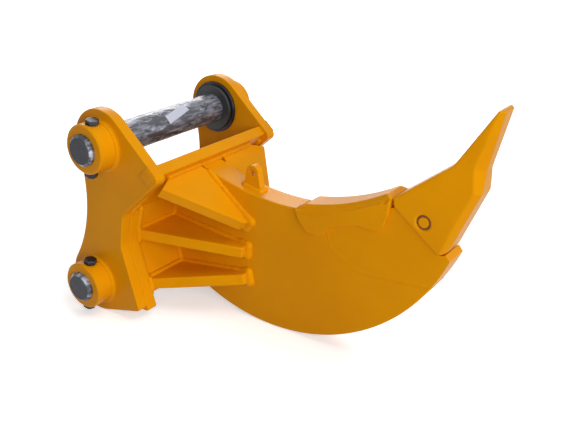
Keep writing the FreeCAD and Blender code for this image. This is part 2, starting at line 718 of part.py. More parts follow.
def on_saddle(reach, lift=0.0):
    """A point at the given X of the protector's top curve, or of one that lies above it."""
    return below(SADDLE, SADDLE_RADIUS - lift, reach)


def under_saddle(reach, depth):
    return (reach, on_saddle(reach)[1] - depth)


protector = new_body("protector")
sketch = new_sketch(protector, "profile")
notch_reach = FRONT - size("notch_inset")
notch = under_saddle(notch_reach, size("notch_depth"))
notch_back = on_saddle(notch_reach - size("notch_back_run"))
notch_front = on_saddle(notch_reach + size("notch_front_run"))
skirt = [under_saddle(FRONT - inward, depth) for inward, depth in SKIRT_FRONT]
skirt += [under_saddle(BACK + inward, depth) for inward, depth in SKIRT_BACK]
corners = [on_saddle(FRONT)] + skirt + [SADDLE_BACK]
edges = [line(corners[i], corners[i + 1]) for i in range(len(corners) - 1)]
edges.append(arc(SADDLE, SADDLE_RADIUS, SADDLE_BACK, notch_back))
edges.append(line(notch_back, notch))
edges.append(line(notch, notch_front))
edges.append(arc(SADDLE, SADDLE_RADIUS, notch_front, corners[0]))
outline(sketch, edges)
pad(protector, sketch, f"{cell('shank_thickness')} + 2 * {cell('saddle_wall')}", symmetric=True)
for corner in skirt:
    round_corners(protector, [corner], cell("skirt_round"))
room = new_sketch(protector, "room")
ledge = LEDGE_RADIUS - size("saddle_fit")
back, front = below(SADDLE, ledge, BACK - OVERRUN), below(SADDLE, ledge, FRONT + OVERRUN)
floor_back, floor_front = (back[0], JOINT_HEEL[1]), (front[0], JOINT_HEEL[1])
outline(room, [arc(SADDLE, ledge, back, front), line(front, floor_front),
               line(floor_front, floor_back), line(floor_back, back)])
pocket(protector, room, f"{cell('shank_thickness')} + 2 * {cell('saddle_fit')}", symmetric=True)

# The crown starts a little inside the saddle's top curve.
crown = new_sketch(protector, "crown")
lift, sunk = size("crown_height"), -size("crown_margin")
crown_back = BACK + size("crown_margin")
foot_back, top_back = on_saddle(crown_back), on_saddle(crown_back + size("crown_back_slope"), lift)
top_front, foot_front = on_saddle(FRONT - size("crown_front_slope"), lift), on_saddle(FRONT)
sunk_back, sunk_front = on_saddle(crown_back, sunk), on_saddle(FRONT, sunk)
outline(crown, [line(sunk_back, foot_back), line(foot_back, top_back),
                arc(SADDLE, SADDLE_RADIUS - lift, top_back, top_front),
                line(top_front, foot_front), line(foot_front, sunk_front),
                arc(SADDLE, SADDLE_RADIUS - sunk, sunk_back, sunk_front)])
pad(protector, crown, cell("crown_width"), symmetric=True)
long_edges = []
for number, edge in enumerate(protector.Shape.Edges, start=1):
    curve = edge.Curve
    if isinstance(curve, Part.Circle) and abs(curve.Radius - SADDLE_RADIUS + lift) < CIRCLE_REACH:
        if abs(abs(edge.CenterOfMass.y) - size("crown_width") / 2) < CIRCLE_REACH:
            long_edges.append(f"Edge{number}")
dress(protector, "Chamfer", long_edges, "Size", cell("crown_bevel"))


# Tooth: a chisel with a socket for the nose and a hole for its pin.

TIP_TOP = (size("tip_reach"), size("tip_rise"))
TIP_FRONT = (size("tip_reach") + size("tip_thickness"), size("tip_rise") - size("tip_bevel"))
HEEL_TOP = (size("heel_top_reach"), size("heel_top_rise"))

# The sides taper from near the pin to the tip, along the line between those two.
CLIMB = angle_of(PIN_AT, TIP_TOP)
TAPER_END = math.dist(PIN_AT, TIP_TOP)


def half_width(point):
    """Half of the tooth's width at a point of the side view."""
    out = math.dist(PIN_AT, point) * math.cos(angle_of(PIN_AT, point) - CLIMB)
    share = max(0, (out - size("taper_start")) / (TAPER_END - size("taper_start")))
    return (size("tooth_width") + share * (size("tip_width") - size("tooth_width"))) / 2


def climbing_plane(point, climb):
    """A plane along Y that passes through a point, with its X axis climbing at an angle."""
    return Placement(Vector(point[0], 0, point[1]), Rotation(Vector(0, 1, 0), -math.degrees(climb)))


def bevel_section(name, point, climb, leg, sign):
    """The triangle that a bevel takes off the tooth's front edge, in a plane square to it."""
    section = new_sketch(tooth, name, "XY_Plane", climbing_plane(point, climb - math.pi / 2))
    out = half_width(point)
    corners = [(-2 * leg, out + leg), (leg, out - 2 * leg), (leg, out + leg)]
    polygon(section, [(x, sign * y) for x, y in corners])
    return section


tooth = new_body("tooth")
sketch = new_sketch(tooth, "profile")
polygon(sketch, [TOOTH_BACK, TOOTH_LIP, CORNER, HEEL, HEEL_TOP, TIP_FRONT, TIP_TOP, TOOTH_BEND])
pad(tooth, sketch, cell("tooth_width"), symmetric=True)
round_corners(tooth, [CORNER], cell("corner_round"))
round_corners(tooth, [HEEL, HEEL_TOP], cell("heel_round"))
round_corners(tooth, [TOOTH_BEND], cell("bend_round"))
round_corners(tooth, [TOOTH_LIP], cell("lip_round"))
front_climb, blade_climb = angle_of(CORNER, HEEL), angle_of(HEEL_TOP, TIP_FRONT)
heel_climb = angle_of(HEEL, HEEL_TOP)
for side, sign in SIDES:
    plan = new_sketch(tooth, f"taper_{side}", "XY_Plane", climbing_plane(PIN_AT, CLIMB))
    full, narrow = sign * size("tooth_width") / 2, sign * size("tip_width") / 2
    slope = (narrow - full) / (TAPER_END - size("taper_start"))
    polygon(plan, [(size("taper_start"), full), (TAPER_END + OVERRUN, narrow + slope * OVERRUN),
                   (TAPER_END + OVERRUN, 2 * full), (size("taper_start"), 2 * full)])
    pocket(tooth, plan)
    bevel = tooth.newObject("PartDesign::SubtractiveLoft", f"bevel_{side}")
    rows = [(toward(CORNER, HEEL, -OVERRUN), front_climb, "corner_bevel"),
            (HEEL, (front_climb + heel_climb) / 2, "heel_bevel"),
            (HEEL_TOP, (heel_climb + blade_climb) / 2, "blade_bevel"),
            (toward(TIP_FRONT, HEEL_TOP, -OVERRUN), blade_climb, "tip_edge_bevel")]
    sections = [bevel_section(f"{leg}_{side}", point, climb, size(leg), sign)
                for point, climb, leg in rows]
    bevel.Profile = sections[0]
    bevel.Sections = sections[1:]
    bevel.Ruled = True
    DOC.recompute()

socket = new_sketch(tooth, "socket")
base_back, base_end, top_end, top_back = grown(NOSE, size("socket_play"))
mouth = shifted(base_back, top_back, OVERRUN)
polygon(socket, [mouth[0], base_back, base_end, top_end, top_back, mouth[1]])
pocket(tooth, socket, f"{cell('nose_width')} + 2 * {cell('socket_play')}", symmetric=True)
hole = new_sketch(tooth, "pin_hole")
circle(hole, PIN_AT, TOOTH_PIN_HOLE)
pocket(tooth, hole)
recess = new_sketch(tooth, "recess",
                    offset=Placement(Vector(0, 0, size("tooth_width") / 2), Rotation()))
circle(recess, PIN_AT, cell("recess_radius"))
pocket(tooth, recess, cell("recess_depth"))

retainer = new_body("tooth_pin_retainer")
ring = new_sketch(retainer, "ring")
circle(ring, (0, 0), f"{cell('recess_radius')} - {cell('pin_play')}")
circle(ring, (0, 0), TOOTH_PIN_HOLE)
pad(retainer, ring, cell("retainer_thickness"))
place(retainer, cell("tooth_pin_reach"),
      f"-{cell('tooth_width')} / 2 + {cell('recess_depth')}", f"-{cell('tooth_pin_drop')}")

tooth_pin = new_body("tooth_pin")
section = new_sketch(tooth_pin, "section")
circle(section, (0, 0), cell("tooth_pin_radius"))
half_length = f"({cell('tooth_width')} / 2 - {cell('tooth_pin_inset')})"
pad(tooth_pin, section, f"2 * {half_length}")
chamfer_ends(tooth_pin, "tooth_pin_radius", "tooth_pin_chamfer")
place(tooth_pin, cell("tooth_pin_reach"), half_length, f"-{cell('tooth_pin_drop')}")


# Lifting lug, shaped to the shank's throat under it.

lug = new_body("lifting_lug")
sketch = new_sketch(lug, "profile")
LUG = below(THROAT, size("throat_radius"), size("lug_reach"))
eye = (LUG[0], LUG[1] + size("lug_height"))
rounding, foot = size("lug_round"), size("lug_foot")
base_back = below(THROAT, size("throat_radius"), LUG[0] - foot)
base_front = below(THROAT, size("throat_radius"), LUG[0] + foot)
left = tangent_point(base_back, eye, rounding, -1)
right = tangent_point(base_front, eye, rounding, 1)
first = outline(sketch, [arc(eye, rounding, right, left), line(left, base_back),
                         arc(THROAT, size("throat_radius"), base_back, base_front),
                         line(base_front, right)])
hold_arc(sketch, first, cell("lug_round"))
circle(sketch, eye, cell("lug_hole_radius"))
pad(lug, sketch, cell("lug_thickness"), symmetric=True)

DOC.recompute()
for thing in DOC.Objects:
    if "Invalid" in thing.State or "Error" in thing.State:
        raise ValueError(f"{thing.Name} failed: {thing.State}")
os.makedirs("parts", exist_ok=True)
for piece in PIECES:
    shape = piece.Shape
    if shape.isNull() or not shape.isValid() or len(shape.Solids) != 1:
        raise ValueError(f"{piece.Label} is not one sound solid")
for piece in PIECES:
    piece.Shape.exportStep(f"parts/{piece.Label}.step")
    print(piece.Label, round(piece.Shape.Volume / 1000), "cm3")
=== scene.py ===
import json
import math

import bmesh
import bpy
from bpy.props import FloatProperty, FloatVectorProperty, PointerProperty
from mathutils import Matrix, Vector, noise
from mathutils.bvhtree import BVHTree

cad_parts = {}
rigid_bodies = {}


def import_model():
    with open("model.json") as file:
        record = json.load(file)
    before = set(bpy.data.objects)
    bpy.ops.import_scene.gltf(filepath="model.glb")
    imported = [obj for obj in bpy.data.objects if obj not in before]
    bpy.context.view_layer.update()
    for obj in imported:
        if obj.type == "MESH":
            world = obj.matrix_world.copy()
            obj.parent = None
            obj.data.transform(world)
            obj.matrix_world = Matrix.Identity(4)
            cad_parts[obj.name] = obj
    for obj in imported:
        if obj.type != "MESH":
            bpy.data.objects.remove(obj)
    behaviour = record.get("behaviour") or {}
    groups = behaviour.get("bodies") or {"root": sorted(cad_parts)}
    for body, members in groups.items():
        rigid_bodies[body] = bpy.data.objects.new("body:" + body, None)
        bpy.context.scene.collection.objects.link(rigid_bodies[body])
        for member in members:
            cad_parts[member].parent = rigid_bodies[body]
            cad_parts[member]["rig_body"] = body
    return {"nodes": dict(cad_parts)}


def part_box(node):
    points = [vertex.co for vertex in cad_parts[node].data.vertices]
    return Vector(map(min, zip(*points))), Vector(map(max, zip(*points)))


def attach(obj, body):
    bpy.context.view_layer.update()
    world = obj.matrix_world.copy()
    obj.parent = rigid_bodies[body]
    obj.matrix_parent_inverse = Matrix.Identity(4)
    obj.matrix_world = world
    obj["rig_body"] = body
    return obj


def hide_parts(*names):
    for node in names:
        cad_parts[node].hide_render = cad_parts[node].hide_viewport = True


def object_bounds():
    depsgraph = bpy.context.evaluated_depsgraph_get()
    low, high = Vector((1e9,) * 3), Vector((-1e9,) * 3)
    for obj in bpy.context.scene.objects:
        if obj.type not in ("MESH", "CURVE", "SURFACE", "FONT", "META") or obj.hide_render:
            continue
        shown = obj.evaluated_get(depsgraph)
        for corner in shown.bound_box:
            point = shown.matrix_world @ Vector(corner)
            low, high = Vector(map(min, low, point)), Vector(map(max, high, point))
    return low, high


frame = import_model()
CAD_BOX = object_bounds()

bl_info = {
    "name": "Excavator ripper",
    "version": (1, 0, 0),
    "blender": (4, 5, 0),
    "location": "View3D > Sidebar > Ripper",
    "description": "Paints and details a single-shank ripper around its CAD frame",
    "category": "Object",
}

# The photograph's camera: where it stood, which way it looked and its focal length in pixels.
CAMERA_PLACE = (1.4336, -1.4576, 0.5921)
CAMERA_AZIMUTH = 35.56
CAMERA_ELEVATION = 22.93
FOCAL_PIXELS = 777.68
PICTURE_WIDTH = 570
SENSOR_WIDTH = 36.0

SIDES = ("left", "right")
LEVELS = ("upper", "middle", "lower")
HITCH_LEVELS = ("upper", "lower")
MAIN_BODY = "ripper"

# Points nearer than this are one point, and faces nearer than this touch, in metres.
SAME_POINT = 0.00001
TOUCH_REACH = 0.0003

# Faces that turn by less than the first are one flat face; edges that turn by more than the
# second are rounded.
FLAT_TURN = math.radians(0.4)
EDGE_TURN = math.radians(28)
ROUND_SEGMENTS = 3

# How far welds start below a plate's surface, and how near a point is to count as a slot's corner.
SUNK = 0.001
SLOT_REACH = 0.001

# Rounds of smoothing for castings and weld beads, and how much finer the protector's skin is.
CAST_ROUNDS = 14
WELD_ROUNDS = 4
PROTECTOR_GRAIN = 0.8


def middle(node):
    """The middle of a CAD node's box."""
    low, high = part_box(node)
    return (Vector(low) + Vector(high)) / 2


GROUND = min(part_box("ear_plate_left")[0][2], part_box("shank")[0][2])
EAR_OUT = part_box("ear_plate_right")[1][1]
PIN_RADIUS = (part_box("hitch_pin_upper")[1][2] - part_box("hitch_pin_upper")[0][2]) / 2
BOSS_RADIUS = (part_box("boss_upper_right")[1][2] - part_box("boss_upper_right")[0][2]) / 2
SEAL_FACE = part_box("seal_upper_right")[0][1]

# Which plates are welded together: the second piece is the one that the first stands on.
PLATE_WELDS = [("headboard_upper", "ear_plate_left"), ("headboard_upper", "ear_plate_right"),
               ("headboard_lower", "cheek_left"), ("headboard_lower", "cheek_right"),
               ("shank", "headboard_upper"), ("shank", "headboard_lower"),
               ("lifting_lug", "shank")]
for side in SIDES:
    PLATE_WELDS += [(f"gusset_{level}_{side}", "shank") for level in LEVELS]
    PLATE_WELDS += [(f"gusset_upper_{side}", "headboard_upper"),
                    (f"gusset_middle_{side}", "headboard_lower"),
                    (f"gusset_lower_{side}", "headboard_lower"),
                    (f"gusset_middle_{side}", f"cheek_{side}"),
                    (f"gusset_lower_{side}", f"cheek_{side}")]


class RipperSizes(bpy.types.PropertyGroup):
    """Sizes of the edges, weld beads and film, in metres."""
    plate_edge: FloatProperty(
        name="Plate edge", description="Rounding of the flame-cut plates' edges",
        default=0.0036, min=0.0005, max=0.006, unit="LENGTH")
    ear_edge: FloatProperty(
        name="Ear edge", description="Rounding of the ears, whose slots lie close to their edges",
        default=0.0021, min=0.0005, max=0.0023, unit="LENGTH")
    cast_grain: FloatProperty(
        name="Cast grain", description="Distance between points of the tooth's skin",
        default=0.0018, min=0.0012, max=0.004, unit="LENGTH")
    weld_grain: FloatProperty(
        name="Weld grain", description="Distance between points of the weld beads' skin",
        default=0.0026, min=0.002, max=0.006, unit="LENGTH")
    small_edge: FloatProperty(
        name="Small edge", description="Rounding of pins, rings, bolts and nuts",
        default=0.0010, min=0.0002, max=0.003, unit="LENGTH")
    bead: FloatProperty(
        name="Weld bead", description="Radius of the weld beads between plates",
        default=0.0088, min=0.002, max=0.015, unit="LENGTH")
    seam_bead: FloatProperty(
        name="Seam bead", description="Radius of the ground-down bead along the shank's seam",
        default=0.0009, min=0.0005, max=0.010, unit="LENGTH")
    plug: FloatProperty(
        name="Plug weld", description="How far the weld over a tenon spreads past it",
        default=0.005, min=0.001, max=0.012, unit="LENGTH")
    ripple_pitch: FloatProperty(
        name="Ripple pitch", description="Distance between two ripples of a weld bead",
        default=0.0060, min=0.002, max=0.020, unit="LENGTH")
    boss_fillet: FloatProperty(
        name="Boss fillet", description="Leg of the weld fillet at the root of each boss",
        default=0.008, min=0.004, max=0.020, unit="LENGTH")
    film: FloatProperty(
        name="Film", description="How far the wrapping film stands off the hitch pins",
        default=0.0012, min=0.0003, max=0.004, unit="LENGTH")


class RipperColours(bpy.types.PropertyGroup):
    """Base colours of the finishes, as linear values."""
    paint: FloatVectorProperty(
        name="Paint", description="Golden yellow enamel", subtype="COLOR", size=3,
        default=(0.800, 0.322, 0.002), min=0.0, max=1.0)
    steel: FloatVectorProperty(
        name="Steel", description="Bare turned steel of the hitch pins", subtype="COLOR", size=3,
        default=(0.060, 0.063, 0.080), min=0.0, max=1.0)
    # Pale colour of the film's painted crease highlights; the turned steel's pale scuffs use it
    # too.
    film: FloatVectorProperty(
        name="Film streaks", description="Pale creases of the wrapping film", subtype="COLOR",
        size=3, default=(0.42, 0.44, 0.52), min=0.0, max=1.0)
    black: FloatVectorProperty(
        name="Blackened steel", description="Washers, lock bolts and nuts", subtype="COLOR", size=3,
        default=(0.018, 0.020, 0.026), min=0.0, max=1.0)
    rubber: FloatVectorProperty(
        name="Rubber", description="Seals and the tooth pin's retainer", subtype="COLOR", size=3,
        default=(0.022, 0.023, 0.025), min=0.0, max=1.0)
    label: FloatVectorProperty(
        name="Label", description="Blank paper label on the upper pin's film", subtype="COLOR",
        size=3, default=(0.60, 0.62, 0.74), min=0.0, max=1.0)
    floor: FloatVectorProperty(
        name="Floor", description="Studio floor", subtype="COLOR", size=3,
        default=(0.97, 0.97, 0.97), min=0.0, max=1.0)


# Shader maths.

class Wire:
    """A node's output, with arithmetic that adds Math nodes."""

    def __init__(self, finish, socket):
        self.finish = finish
        self.socket = socket

    def math(self, operation, first, second):
        return self.finish.add("Math", {0: first, 1: second}, operation=operation)

    def __add__(self, other):
        return self.math("ADD", self, other)

    def __radd__(self, other):
        return self.math("ADD", other, self)

    def __mul__(self, other):
        return self.math("MULTIPLY", self, other)

    def __rmul__(self, other):
        return self.math("MULTIPLY", other, self)

    def __pow__(self, other):
        return self.math("POWER", self, other)


class Finish:
    """A material, or the world, under construction."""

    def __init__(self, name, kind="materials"):
        self.data = getattr(bpy.data, kind).new(name)
        self.data.use_nodes = True
        self.tree = self.data.node_tree
        self.tree.nodes.clear()

    @property
    def place(self):
        """The object's own coordinates, which have one scale on every piece."""
        return self.add("TexCoord", output="Object")

    def add(self, kind, inputs=None, output=0, stops=None, **settings):
        """Adds a node with its settings, then the values or links of its sockets."""
        node = self.tree.nodes.new("ShaderNode" + kind)
        for name, value in settings.items():
            setattr(node, name, value)
        if stops:
            ramp = node.color_ramp
            while len(ramp.elements) < len(stops):
                ramp.elements.new(1.0)
            for element, (position, grey) in zip(ramp.elements, stops):
                element.position = position
                element.color = (grey, grey, grey, 1.0)
        for name, value in (inputs or {}).items():
            if isinstance(value, Wire):
                self.tree.links.new(value.socket, node.inputs[name])
            else:
                node.inputs[name].default_value = value
        return Wire(self, node.outputs[output]) if node.outputs else None

    def noise(self, scale, detail=3.0, stretch=None, seed=0.0):
        """Fractal noise, with features about 1 / scale metres across."""
        place = self.place
        if stretch or seed:
            place = self.add("Mapping", {"Vector": place, "Location": (seed, seed, seed),
                                         "Scale": stretch or (1.0, 1.0, 1.0)})
        return self.add("TexNoise", {"Vector": place, "Scale": scale, "Detail": detail,
                                     "Roughness": 0.55})

    def steps(self, wire, *stops):
        """A grey ramp between the given pairs of position and value."""
        return self.add("ValToRGB", {"Fac": wire}, stops=stops)

    def blend(self, share, first, second):
        """A mix of two colours, each a wire or a plain colour."""
        colours = [c if isinstance(c, Wire) else (*c, 1.0) for c in (first, second)]
        return self.add("Mix", {0: share, 6: colours[0], 7: colours[1]}, output=2,
                        data_type="RGBA")

    def bump(self, height, distance, strength=1.0, under=None):
        inputs = {"Height": height, "Distance": distance, "Strength": strength}
        if under:
            inputs["Normal"] = under
        return self.add("Bump", inputs)

    def seen(self):
        """One for rays that show a surface to the camera, also by mirror or through glass."""
        path = self.add("LightPath", output="Is Camera Ray").socket.node
        shown = [Wire(self, path.outputs[f"Is {kind} Ray"])
                 for kind in ("Camera", "Glossy", "Transmission")]
        return self.add("Clamp", {"Value": shown[0] + shown[1] + shown[2]})

    def finish(self, **sockets):
        """Ends the material with a Principled shader; underscores stand for spaces."""
        inputs = {name.replace("_", " "): value for name, value in sockets.items()}
        self.add("OutputMaterial", {"Surface": self.add("BsdfPrincipled", inputs)})
        return self.data


def scaled(colour, factor):
    return tuple(min(1.0, channel * factor) for channel in colour)


def enamel(name, skin_scale=230.0, skin_depth=0.00008):
    """Smooth enamel over plate or casting: orange peel, sprayed unevenness, faint dust, and paler
    patches on rounded edges that are partly wear chips and partly painted edge highlight.
    """
    paint = tuple(bpy.context.scene.ripper_colours.paint)
    finish = Finish(name)
    cloud = finish.noise(5.0, 4.0)
    streak = finish.noise(26.0, 3.0, stretch=(1.0, 1.0, 0.35), seed=3.0)
    tone = finish.blend(finish.steps(cloud, (0.35, 0.0), (0.70, 1.0)),
                        (paint[0] * 0.95, paint[1] * 0.91, paint[2]), scaled(paint, 1.02))
    dust = finish.steps(streak, (0.56, 0.0), (0.86, 1.0)) * 0.06
    dusted = finish.blend(dust, tone, (0.80, 0.44, 0.06))
    # Paler patches along rounded edges: partly paint chips from wear, partly painted highlight on
    # the edges.
    edge_wear_and_highlight = finish.add("Attribute", output="Fac", attribute_name="edge")
    chips = finish.steps(finish.noise(210.0, 2.0, seed=7.0), (0.66, 0.0), (0.70, 1.0))
    chipped_and_edge_lit = finish.blend(edge_wear_and_highlight * chips * 0.45, dusted, (0.66, 0.38, 0.10))
    peel = finish.noise(skin_scale, 2.0, seed=1.0)
    sag = finish.noise(16.0, 2.0, seed=5.0)
    normal = finish.bump(peel, skin_depth, 1.0, finish.bump(sag, 0.0012, 0.5))
    return finish.finish(Base_Color=chipped_and_edge_lit, Roughness=0.30 + 0.16 * cloud + dust, IOR=1.28,
                         Specular_Tint=(1.0, 0.40, 0.005, 1.0), Normal=normal)


def wrapped_steel():
    """Dark oiled steel under a crinkled film, with pale streaks painted on its creases as
    highlights.
    """
    colours = bpy.context.scene.ripper_colours
    finish = Finish("film_wrapped_steel")
    creases = finish.noise(52.0, 4.0, stretch=(1.0, 0.20, 1.0), seed=2.0)
    fine = finish.noise(170.0, 3.0, stretch=(1.0, 0.14, 1.0), seed=9.0)
    # Painted highlight: pale streaks on the film's creases.
    painted_crease_highlights = finish.steps(creases * 0.6 + fine * 0.4, (0.45, 0.0), (0.55, 0.35), (0.68, 1.0))
    colour = finish.blend(painted_crease_highlights, tuple(colours.steel), tuple(colours.film))
    normal = finish.bump(creases + 0.4 * fine, 0.004, 0.9)
    return finish.finish(Base_Color=colour, Roughness=0.20 + 0.35 * fine, Metallic=0.15,
                         Coat_Weight=0.3, Coat_Roughness=0.10, Normal=normal)


def turned_steel(name, centre):
    """Turned steel with fine rings round a pin's axis, scuffed and oily."""
    colours = bpy.context.scene.ripper_colours
    finish = Finish(name)
    centred = finish.add("Mapping", {"Vector": finish.place,
                                     "Location": (-centre[0], 0.0, -centre[2])})
    reach = finish.add("SeparateXYZ", {"Vector": centred}, output="X")
    height = Wire(finish, reach.socket.node.outputs["Z"])
    radius = (reach * reach + height * height) ** 0.5
    rings = finish.add("Math", {0: radius * 2600.0}, operation="SINE")
    scuff = finish.noise(70.0, 5.0, stretch=(1.0, 0.5, 1.0))
    rim = finish.steps(radius * 20.0, (0.66, 0.0), (0.70, 1.0))
    pale = finish.steps(scuff, (0.44, 0.10), (0.62, 1.0)) * rim
    colour = finish.blend(pale, scaled(tuple(colours.steel), 0.55), tuple(colours.film))
    normal = finish.bump(rings, 0.00012, 0.6, finish.bump(scuff, 0.002, 0.6))
    return finish.finish(Base_Color=colour, Roughness=0.30 + 0.25 * scuff, Metallic=0.55,
                         Normal=normal)


def blackened_steel():
    colours = bpy.context.scene.ripper_colours
    finish = Finish("blackened_steel")
    cloud = finish.noise(60.0, 4.0)
    rub = finish.steps(finish.noise(25.0, 4.0, seed=4.0), (0.50, 0.0), (0.75, 1.0))
    edge_wear_and_highlight = finish.add("Attribute", output="Fac", attribute_name="edge")
    colour = finish.blend(rub * 0.25 + edge_wear_and_highlight * 0.25, tuple(colours.black), (0.20, 0.21, 0.23))
    return finish.finish(Base_Color=colour, Roughness=0.26 + 0.30 * cloud, Metallic=0.6,
                         Normal=finish.bump(cloud, 0.0008, 0.4))


def black_rubber():
    colours = bpy.context.scene.ripper_colours
    finish = Finish("black_rubber")
    grain = finish.noise(420.0, 3.0)
    dusty = finish.steps(finish.noise(30.0, 4.0, seed=6.0), (0.45, 0.0), (0.80, 1.0))
    colour = finish.blend(dusty * 0.35, tuple(colours.rubber), (0.10, 0.10, 0.10))
    return finish.finish(Base_Color=colour, Roughness=0.50 + 0.25 * dusty,
                         Normal=finish.bump(grain, 0.0004, 0.5))


def recess_shade_rubber():
    """Rubber whose colour is painted shade: the dark red-brown and darkened paint of its shadowed
    recess.
    """
    colours = bpy.context.scene.ripper_colours
    finish = Finish("recess_shade_rubber")
    shade_patches = finish.steps(finish.noise(260.0, 3.0, seed=8.0), (0.35, 0.0), (0.75, 1.0))
    # Painted shade: dark red-brown, in patches of the paint colour darkened to 0.30.
    colour = finish.blend(shade_patches, (0.10, 0.022, 0.002), scaled(tuple(colours.paint), 0.30))
    return finish.finish(Base_Color=colour, Roughness=0.6 + 0.2 * shade_patches,
                         Normal=finish.bump(shade_patches, 0.0003, 0.4))


def label_paper():
    colours = bpy.context.scene.ripper_colours
    finish = Finish("label_paper")
    fibre = finish.noise(300.0, 3.0)
    cloud = finish.noise(40.0, 3.0, seed=2.0)
    colour = finish.blend(cloud, scaled(tuple(colours.label), 0.92), tuple(colours.label))
    return finish.finish(Base_Color=colour, Roughness=0.55 + 0.1 * fibre,
                         Normal=finish.bump(fibre, 0.0003, 0.4))


# Meshes.

def merged(node):
    """A copy of a CAD node's mesh with its triangles joined into clean flat faces."""
    mesh = bmesh.new()
    mesh.from_mesh(frame["nodes"][node].data)
    bmesh.ops.remove_doubles(mesh, verts=mesh.verts, dist=SAME_POINT)
    bmesh.ops.dissolve_limit(mesh, angle_limit=FLAT_TURN, verts=mesh.verts,
                             edges=mesh.edges, use_dissolve_boundaries=False)
    bmesh.ops.recalc_face_normals(mesh, faces=mesh.faces)
    return mesh


def publish(name, mesh, material, body, replaced=()):
    """Turns a bmesh into a finished piece that rides on a body."""
    data = bpy.data.meshes.new(name)
    mesh.to_mesh(data)
    mesh.free()
    return publish_data(name, data, material, body, replaced)


def publish_data(name, data, material, body, replaced=()):
    """Turns mesh data into a finished piece that rides on a body."""
    data.shade_smooth()
    data.materials.clear()
    data.materials.append(material)
    piece = bpy.data.objects.new(name, data)
    bpy.context.scene.collection.objects.link(piece)
    shading = piece.modifiers.new("even_shading", "WEIGHTED_NORMAL")
    shading.weight = 80
    shading.keep_sharp = True
    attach(piece, body)
    if replaced:
        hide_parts(*replaced)
    return piece


def body_of_node(node):
    return frame["nodes"][node]["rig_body"]


def rounded_node(node, edge, material, slot_corners=()):
    """Stands for a CAD node: the same shape with its edges rounded and marked for wear and for the
    enamel's painted edge highlights.

    The edges of a slot with the given corners stay sharp, because a weld hides them.
    """
    def beside_slot(vert):
        return any(math.hypot(vert.co.x - p.x, vert.co.z - p.z) < SLOT_REACH
                   for p in slot_corners)

    mesh = merged(node)
    edge_wear_and_highlight = mesh.loops.layers.float.new("edge")
    sharp = [e for e in mesh.edges if e.is_manifold and e.calc_face_angle() > EDGE_TURN]
    for hidden in [e for e in sharp if all(beside_slot(v) for v in e.verts)]:
        hidden.smooth = False
        sharp.remove(hidden)
    rounded = bmesh.ops.bevel(mesh, geom=sharp, offset=edge, offset_type="OFFSET",
                              segments=ROUND_SEGMENTS, profile=0.5, affect="EDGES",
                              clamp_overlap=True, material=-1)
    for face in rounded["faces"]:
        for corner in face.loops:
            corner[edge_wear_and_highlight] = 1.0
    return publish(f"{node}_finished", mesh, material, body_of_node(node),
                   (node,))


def soften(piece, grain, rounds):
    """Melts a piece into one skin, with points a grain apart, and smooths it."""
    piece.modifiers.clear()
    skin = piece.modifiers.new("skin", "REMESH")
    skin.mode = "VOXEL"
    skin.voxel_size = grain
    skin.use_smooth_shade = True
    smooth = piece.modifiers.new("smooth", "SMOOTH")
    smooth.factor = 0.5
    smooth.iterations = rounds


def cast_node(node, grain, material):
    """Stands for a cast CAD node: the same shape with every edge softened."""
    piece = publish(f"{node}_finished", merged(node), material, body_of_node(node),
                    (node,))
    soften(piece, grain, CAST_ROUNDS)


def touching_faces(mesh, other):
    """The faces of one mesh that lie on another's surface and look into it."""
    tree = BVHTree.FromBMesh(other)
    found = []
    for face in mesh.faces:
        near, normal, _, distance = tree.find_nearest(face.calc_center_median())
        if near is not None and distance < TOUCH_REACH and normal.dot(face.normal) < -0.9:
            found.append(face)
    return found


def rims(faces):
    """The closed loops of points round some faces, in the order of the faces."""
    inside = set(faces)
    edges = {e: True for f in faces for e in f.edges
             if sum(g in inside for g in e.link_faces) == 1}
    loops = []
    while edges:
        edge = next(iter(edges))
        del edges[edge]
        start, vertex = edge.verts
        loop = [start.co.copy(), vertex.co.copy()]
        while vertex is not start:
            onward = [e for e in vertex.link_edges if e in edges]
            if not onward:
                break
            del edges[onward[0]]
            vertex = onward[0].other_vert(vertex)
            loop.append(vertex.co.copy())
        loops.append(loop)
    return loops


def evenly(points, pitch):
    """Points at even steps along a run of straight pieces."""
    spaced = []
    for start, end in zip(points, points[1:]):
        count = max(1, round((end - start).length / pitch))
        spaced += [start.lerp(end, i / count) for i in range(count)]
    return spaced


def bead_curve(curve, loop, radius, tip_swell):
    """Adds one weld bead to a curve: rippled, and swollen round the front end of its loop."""
    sizes = bpy.context.scene.ripper_sizes
    steps, tip_reach, ripple_share, lump_share, lump_scale = 4, 0.03, 0.05, 0.16, 60.0
    points = evenly(loop, sizes.ripple_pitch / steps)
    front = max(point.x for point in points)
    spline = curve.splines.new("POLY")
    spline.points.add(len(points) - 1)
    for i, point in enumerate(points):
        lump = noise.noise(point * lump_scale)
        spline.points[i].co = (*point, 1.0)
        near_tip = tip_swell * max(0.0, 1.0 - (front - point.x) / tip_reach)
        ripple = ripple_share * (i % steps) / steps + lump_share * lump
        spline.points[i].radius = radius * (1.0 + ripple + near_tip)
    spline.use_cyclic_u = True


def beads(name, rows, material):
    """One piece made of weld beads, from rows of a closed loop, a bead radius and a tip swell."""
    curve = bpy.data.curves.new(name, "CURVE")
    curve.dimensions = "3D"
    curve.bevel_depth = 1.0
    curve.bevel_resolution = 2
    for row in rows:
        bead_curve(curve, *row)
    holder = bpy.data.objects.new(name, curve)
    bpy.context.scene.collection.objects.link(holder)
    bpy.context.view_layer.update()
    graph = bpy.context.evaluated_depsgraph_get()
    data = bpy.data.meshes.new_from_object(holder.evaluated_get(graph))
    bpy.data.objects.remove(holder)
    bpy.data.curves.remove(curve)
    return publish_data(name, data, material, MAIN_BODY)


